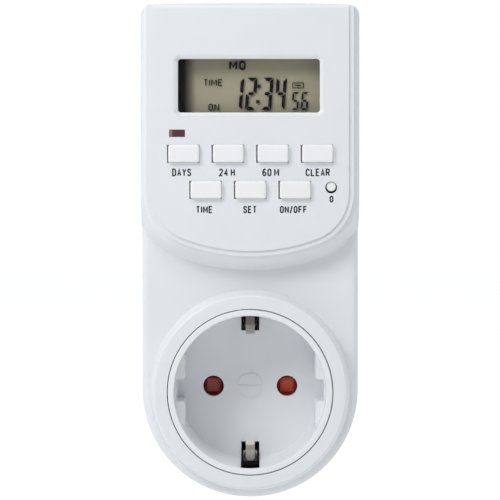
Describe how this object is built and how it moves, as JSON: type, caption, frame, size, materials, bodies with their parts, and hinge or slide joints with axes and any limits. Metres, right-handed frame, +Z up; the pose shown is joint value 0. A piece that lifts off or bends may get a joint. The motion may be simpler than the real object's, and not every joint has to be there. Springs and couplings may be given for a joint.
{
  "type": "digital timer socket",
  "caption": "Plug-through digital timer socket: stepped head with display and keys, round collar with a sprung-shuttered earthed socket recess, plug body on the back.",
  "frame": {"origin": "centre of the plug body's face, on the common axis of the plug and the socket recess", "axes": "+X to the right seen from the front, +Y out of the plug's face towards the wall, +Z up towards the head's top"},
  "size_m": [0.0546, 0.0785, 0.1244],
  "materials": {
    "white_plastic": "smooth semi-gloss ABS, cool white",
    "pot_plastic": "smooth semi-gloss polycarbonate, cool white",
    "inner_plastic": "matt natural white",
    "shutter_red": "smooth moulded red-orange",
    "spring_steel": "drawn wire",
    "contact_metal": "nickel plated strip",
    "pin_metal": "nickel plated brass",
    "brass_strip": "rolled strip",
    "clear_pane": "clear acrylic",
    "lcd_glass": "grey reflective display",
    "connector_rubber": "striped soft rubber",
    "red_lens": "clear dark red",
    "key_plastic": "smooth white",
    "mat_rubber": "grey silicone",
    "board_green": "solder resist on glass laminate",
    "black_plastic": "matt black",
    "can_metal": "drawn can",
    "relay_case": "blue case",
    "film_case": "yellow box",
    "can_sleeve": "shrink sleeve",
    "varistor_coat": "dipped epoxy",
    "fuse_coat": "ceramic tube",
    "resistor_coat": "lacquer",
    "screw_steel": "zinc plated"
  },
  "bodies": {
    "casing": {"backup_battery": "can_metal", "board_header": "black_plastic", "carrier_screws": "screw_steel", "contact_carrier": "inner_plastic", "control_board": "board_green", "control_board_screws": "screw_steel", "controller_chip": "black_plastic", "crystal": "can_metal", "display_window": "clear_pane", "driver_transistor": "black_plastic", "earth_bracket": "contact_metal", "earth_link": "contact_metal", "electrolytic_capacitors": "can_sleeve", "film_capacitor": "film_case", "front_housing": "white_plastic", "fuse": "fuse_coat", "housing_screws": "screw_steel", "key_mat": "mat_rubber", "lcd_connector": "connector_rubber", "lcd_frame": "inner_plastic", "lcd_panel": "lcd_glass", "led": "red_lens", "led_lens": "red_lens", "live_contact": "brass_strip", "live_in_strap": "brass_strip", "live_out_strap": "brass_strip", "live_pin": "pin_metal", "neutral_contact": "brass_strip", "neutral_pin": "pin_metal", "neutral_strap": "brass_strip", "plug_earth_strip": "contact_metal", "pot_screws": "screw_steel", "power_board": "board_green", "power_board_screws": "screw_steel", "rear_housing": "white_plastic", "rectifier_diodes": "black_plastic", "relay": "relay_case", "resistors": "resistor_coat", "shutter_spring": "spring_steel", "socket_pot": "pot_plastic", "varistor": "varistor_coat"},
    "day_key": {"day_key": "key_plastic"},
    "hour_key": {"hour_key": "key_plastic"},
    "minute_key": {"minute_key": "key_plastic"},
    "recall_key": {"recall_key": "key_plastic"},
    "clock_key": {"clock_key": "key_plastic"},
    "program_key": {"program_key": "key_plastic"},
    "mode_key": {"mode_key": "key_plastic"},
    "reset_key": {"reset_key": "key_plastic"},
    "safety_shutter": {"safety_shutter": "shutter_red"}
  },
  "joints": [
    {"name": "day_key_press", "type": "slide", "parent": "casing", "child": "day_key", "axis": [0, 1, 0], "range_m": [0, 0.0009], "stiffness_N_per_m": 900, "springref_m": -0.0002, "deforming": ["key_mat"]},
    {"name": "hour_key_press", "type": "slide", "parent": "casing", "child": "hour_key", "axis": [0, 1, 0], "range_m": [0, 0.0009], "stiffness_N_per_m": 900, "springref_m": -0.0002, "deforming": ["key_mat"]},
    {"name": "minute_key_press", "type": "slide", "parent": "casing", "child": "minute_key", "axis": [0, 1, 0], "range_m": [0, 0.0009], "stiffness_N_per_m": 900, "springref_m": -0.0002, "deforming": ["key_mat"]},
    {"name": "recall_key_press", "type": "slide", "parent": "casing", "child": "recall_key", "axis": [0, 1, 0], "range_m": [0, 0.0009], "stiffness_N_per_m": 900, "springref_m": -0.0002, "deforming": ["key_mat"]},
    {"name": "clock_key_press", "type": "slide", "parent": "casing", "child": "clock_key", "axis": [0, 1, 0], "range_m": [0, 0.0009], "stiffness_N_per_m": 900, "springref_m": -0.0002, "deforming": ["key_mat"]},
    {"name": "program_key_press", "type": "slide", "parent": "casing", "child": "program_key", "axis": [0, 1, 0], "range_m": [0, 0.0009], "stiffness_N_per_m": 900, "springref_m": -0.0002, "deforming": ["key_mat"]},
    {"name": "mode_key_press", "type": "slide", "parent": "casing", "child": "mode_key", "axis": [0, 1, 0], "range_m": [0, 0.0009], "stiffness_N_per_m": 900, "springref_m": -0.0002, "deforming": ["key_mat"]},
    {"name": "reset_key_press", "type": "slide", "parent": "casing", "child": "reset_key", "axis": [0, 1, 0], "range_m": [0, 0.0009], "stiffness_N_per_m": 900, "springref_m": -0.0002, "deforming": ["key_mat"]},
    {"name": "shutter_turn", "type": "hinge", "parent": "casing", "child": "safety_shutter", "pos_m": [0, -0.0372, 0], "axis": [0, 1, 0], "range_deg": [0, 35], "stiffness_Nm_per_rad": 0.003, "springref_deg": -17.19, "deforming": ["shutter_spring"]}
  ]
}
